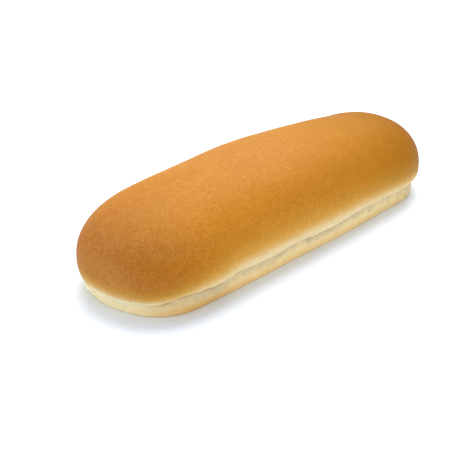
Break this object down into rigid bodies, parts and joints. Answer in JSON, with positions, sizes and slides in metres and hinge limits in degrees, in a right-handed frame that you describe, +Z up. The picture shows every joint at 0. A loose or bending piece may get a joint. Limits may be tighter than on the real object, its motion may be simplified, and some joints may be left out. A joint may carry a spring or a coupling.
{
  "type": "hot dog bun",
  "caption": "Long soft bread roll with round ends, a low pale wall, a crease above it and a browned domed cap; it lies on its flat base and holds a sausage once cut.",
  "frame": {"origin": "on the flat base, under the middle of the bun's box", "axes": "+X along the bun towards its longer, slightly narrower end, +Z up out of the base through the crown"},
  "size_m": [0.16, 0.0548, 0.0341],
  "materials": {
    "crust": "soft matt bread crust, golden brown on the cap, cream along the crease and wall, golden at the bottom edge"
  },
  "bodies": {
    "root": {"bun": "crust"}
  },
  "joints": []
}
